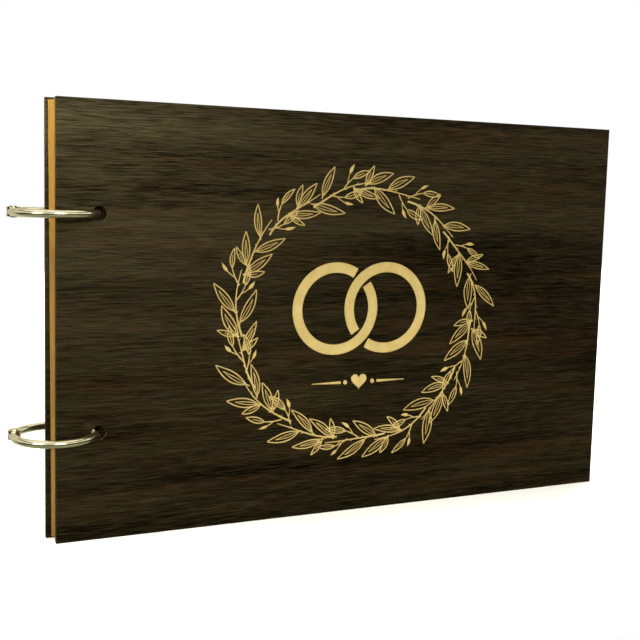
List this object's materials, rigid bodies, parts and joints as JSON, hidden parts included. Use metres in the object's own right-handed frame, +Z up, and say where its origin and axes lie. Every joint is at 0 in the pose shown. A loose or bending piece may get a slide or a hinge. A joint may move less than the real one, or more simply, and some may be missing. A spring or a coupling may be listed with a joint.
{
  "type": "wedding guest book",
  "caption": "Landscape guest book: two dark wood-veneered boards and loose kraft card leaves held by two hinged metal book rings at the spine edge.",
  "frame": {"origin": "bottom centre of the closed book's bounding box, rings included, with the book standing on its long edge", "axes": "+X from the spine and rings towards the fore edge, +Y from the front board to the back board, +Z up"},
  "size_m": [0.3198, 0.0396, 0.2006],
  "materials": {
    "dark_veneer": "satin",
    "fibre_core": "matt",
    "kraft_card": "matt",
    "ring_metal": "polished"
  },
  "bodies": {
    "back_cover": {"back_inner_veneer": "dark_veneer", "back_core": "fibre_core", "back_outer_veneer": "dark_veneer"},
    "front_cover": {"front_outer_veneer": "dark_veneer", "front_core": "fibre_core", "front_inner_veneer": "dark_veneer"},
    "leaf_01_body": {"leaf_01": "kraft_card"},
    "leaf_02_body": {"leaf_02": "kraft_card"},
    "leaf_03_body": {"leaf_03": "kraft_card"},
    "leaf_04_body": {"leaf_04": "kraft_card"},
    "leaf_05_body": {"leaf_05": "kraft_card"},
    "leaf_06_body": {"leaf_06": "kraft_card"},
    "leaf_07_body": {"leaf_07": "kraft_card"},
    "leaf_08_body": {"leaf_08": "kraft_card"},
    "leaf_09_body": {"leaf_09": "kraft_card"},
    "leaf_10_body": {"leaf_10": "kraft_card"},
    "leaf_11_body": {"leaf_11": "kraft_card"},
    "leaf_12_body": {"leaf_12": "kraft_card"},
    "leaf_13_body": {"leaf_13": "kraft_card"},
    "leaf_14_body": {"leaf_14": "kraft_card"},
    "leaf_15_body": {"leaf_15": "kraft_card"},
    "leaf_16_body": {"leaf_16": "kraft_card"},
    "leaf_17_body": {"leaf_17": "kraft_card"},
    "leaf_18_body": {"leaf_18": "kraft_card"},
    "upper_ring": {"upper_ring_fixed_half": "ring_metal", "upper_ring_rivet": "ring_metal"},
    "upper_gate": {"upper_ring_gate_half": "ring_metal"},
    "lower_ring": {"lower_ring_fixed_half": "ring_metal", "lower_ring_rivet": "ring_metal"},
    "lower_gate": {"lower_ring_gate_half": "ring_metal"}
  },
  "joints": [
    {"name": "cover_open", "type": "hinge", "parent": "back_cover", "child": "front_cover", "pos_m": [-0.13999, 0, 0.1], "axis": [0, 0, -1], "range_deg": [0, 180]},
    {"name": "leaf_01_turn", "type": "hinge", "parent": "back_cover", "child": "leaf_01_body", "pos_m": [-0.13999, 0, 0.1], "axis": [0, 0, -1], "range_deg": [0, 176.41]},
    {"name": "leaf_02_turn", "type": "hinge", "parent": "back_cover", "child": "leaf_02_body", "pos_m": [-0.13999, 0, 0.1], "axis": [0, 0, -1], "range_deg": [0, 174.16]},
    {"name": "leaf_03_turn", "type": "hinge", "parent": "back_cover", "child": "leaf_03_body", "pos_m": [-0.13999, 0, 0.1], "axis": [0, 0, -1], "range_deg": [0, 171.91]},
    {"name": "leaf_04_turn", "type": "hinge", "parent": "back_cover", "child": "leaf_04_body", "pos_m": [-0.13999, 0, 0.1], "axis": [0, 0, -1], "range_deg": [0, 169.66]},
    {"name": "leaf_05_turn", "type": "hinge", "parent": "back_cover", "child": "leaf_05_body", "pos_m": [-0.13999, 0, 0.1], "axis": [0, 0, -1], "range_deg": [0, 167.41]},
    {"name": "leaf_06_turn", "type": "hinge", "parent": "back_cover", "child": "leaf_06_body", "pos_m": [-0.13999, 0, 0.1], "axis": [0, 0, -1], "range_deg": [0, 165.16]},
    {"name": "leaf_07_turn", "type": "hinge", "parent": "back_cover", "child": "leaf_07_body", "pos_m": [-0.13999, 0, 0.1], "axis": [0, 0, -1], "range_deg": [0, 162.91]},
    {"name": "leaf_08_turn", "type": "hinge", "parent": "back_cover", "child": "leaf_08_body", "pos_m": [-0.13999, 0, 0.1], "axis": [0, 0, -1], "range_deg": [0, 160.66]},
    {"name": "leaf_09_turn", "type": "hinge", "parent": "back_cover", "child": "leaf_09_body", "pos_m": [-0.13999, 0, 0.1], "axis": [0, 0, -1], "range_deg": [0, 158.41]},
    {"name": "leaf_10_turn", "type": "hinge", "parent": "back_cover", "child": "leaf_10_body", "pos_m": [-0.13999, 0, 0.1], "axis": [0, 0, -1], "range_deg": [0, 16.21]},
    {"name": "leaf_11_turn", "type": "hinge", "parent": "back_cover", "child": "leaf_11_body", "pos_m": [-0.13999, 0, 0.1], "axis": [0, 0, -1], "range_deg": [0, 14.32]},
    {"name": "leaf_12_turn", "type": "hinge", "parent": "back_cover", "child": "leaf_12_body", "pos_m": [-0.13999, 0, 0.1], "axis": [0, 0, -1], "range_deg": [0, 12.43]},
    {"name": "leaf_13_turn", "type": "hinge", "parent": "back_cover", "child": "leaf_13_body", "pos_m": [-0.13999, 0, 0.1], "axis": [0, 0, -1], "range_deg": [0, 10.54]},
    {"name": "leaf_14_turn", "type": "hinge", "parent": "back_cover", "child": "leaf_14_body", "pos_m": [-0.13999, 0, 0.1], "axis": [0, 0, -1], "range_deg": [0, 8.65]},
    {"name": "leaf_15_turn", "type": "hinge", "parent": "back_cover", "child": "leaf_15_body", "pos_m": [-0.13999, 0, 0.1], "axis": [0, 0, -1], "range_deg": [0, 6.76]},
    {"name": "leaf_16_turn", "type": "hinge", "parent": "back_cover", "child": "leaf_16_body", "pos_m": [-0.13999, 0, 0.1], "axis": [0, 0, -1], "range_deg": [0, 4.87]},
    {"name": "leaf_17_turn", "type": "hinge", "parent": "back_cover", "child": "leaf_17_body", "pos_m": [-0.13999, 0, 0.1], "axis": [0, 0, -1], "range_deg": [0, 2.98]},
    {"name": "leaf_18_turn", "type": "hinge", "parent": "back_cover", "child": "leaf_18_body", "pos_m": [-0.13999, 0, 0.1], "axis": [0, 0, -1], "range_deg": [0, 1.09]},
    {"name": "upper_ring_turn", "type": "hinge", "parent": "back_cover", "child": "upper_ring", "pos_m": [-0.13999, 0, 0.1496], "axis": [0, 0, -1], "range_deg": [0, 100]},
    {"name": "upper_gate_open", "type": "hinge", "parent": "upper_ring", "child": "upper_gate", "pos_m": [-0.15703, 0.00579, 0.1496], "axis": [0, 0, 1], "range_deg": [-60, 0]},
    {"name": "lower_ring_turn", "type": "hinge", "parent": "back_cover", "child": "lower_ring", "pos_m": [-0.13999, 0, 0.05], "axis": [0, 0, -1], "range_deg": [0, 100]},
    {"name": "lower_gate_open", "type": "hinge", "parent": "lower_ring", "child": "lower_gate", "pos_m": [-0.15703, 0.00579, 0.05], "axis": [0, 0, 1], "range_deg": [-60, 0]}
  ],
  "couplings": [
    {"joint": "leaf_01_turn", "follows": "cover_open", "ratio": 0.98},
    {"joint": "leaf_02_turn", "follows": "cover_open", "ratio": 0.9675},
    {"joint": "leaf_03_turn", "follows": "cover_open", "ratio": 0.955},
    {"joint": "leaf_04_turn", "follows": "cover_open", "ratio": 0.9425},
    {"joint": "leaf_05_turn", "follows": "cover_open", "ratio": 0.93},
    {"joint": "leaf_06_turn", "follows": "cover_open", "ratio": 0.9175},
    {"joint": "leaf_07_turn", "follows": "cover_open", "ratio": 0.905},
    {"joint": "leaf_08_turn", "follows": "cover_open", "ratio": 0.8925},
    {"joint": "leaf_09_turn", "follows": "cover_open", "ratio": 0.88},
    {"joint": "leaf_10_turn", "follows": "cover_open", "ratio": 0.09},
    {"joint": "leaf_11_turn", "follows": "cover_open", "ratio": 0.0795},
    {"joint": "leaf_12_turn", "follows": "cover_open", "ratio": 0.069},
    {"joint": "leaf_13_turn", "follows": "cover_open", "ratio": 0.0585},
    {"joint": "leaf_14_turn", "follows": "cover_open", "ratio": 0.048},
    {"joint": "leaf_15_turn", "follows": "cover_open", "ratio": 0.0375},
    {"joint": "leaf_16_turn", "follows": "cover_open", "ratio": 0.027},
    {"joint": "leaf_17_turn", "follows": "cover_open", "ratio": 0.0165},
    {"joint": "leaf_18_turn", "follows": "cover_open", "ratio": 0.006}
  ]
}
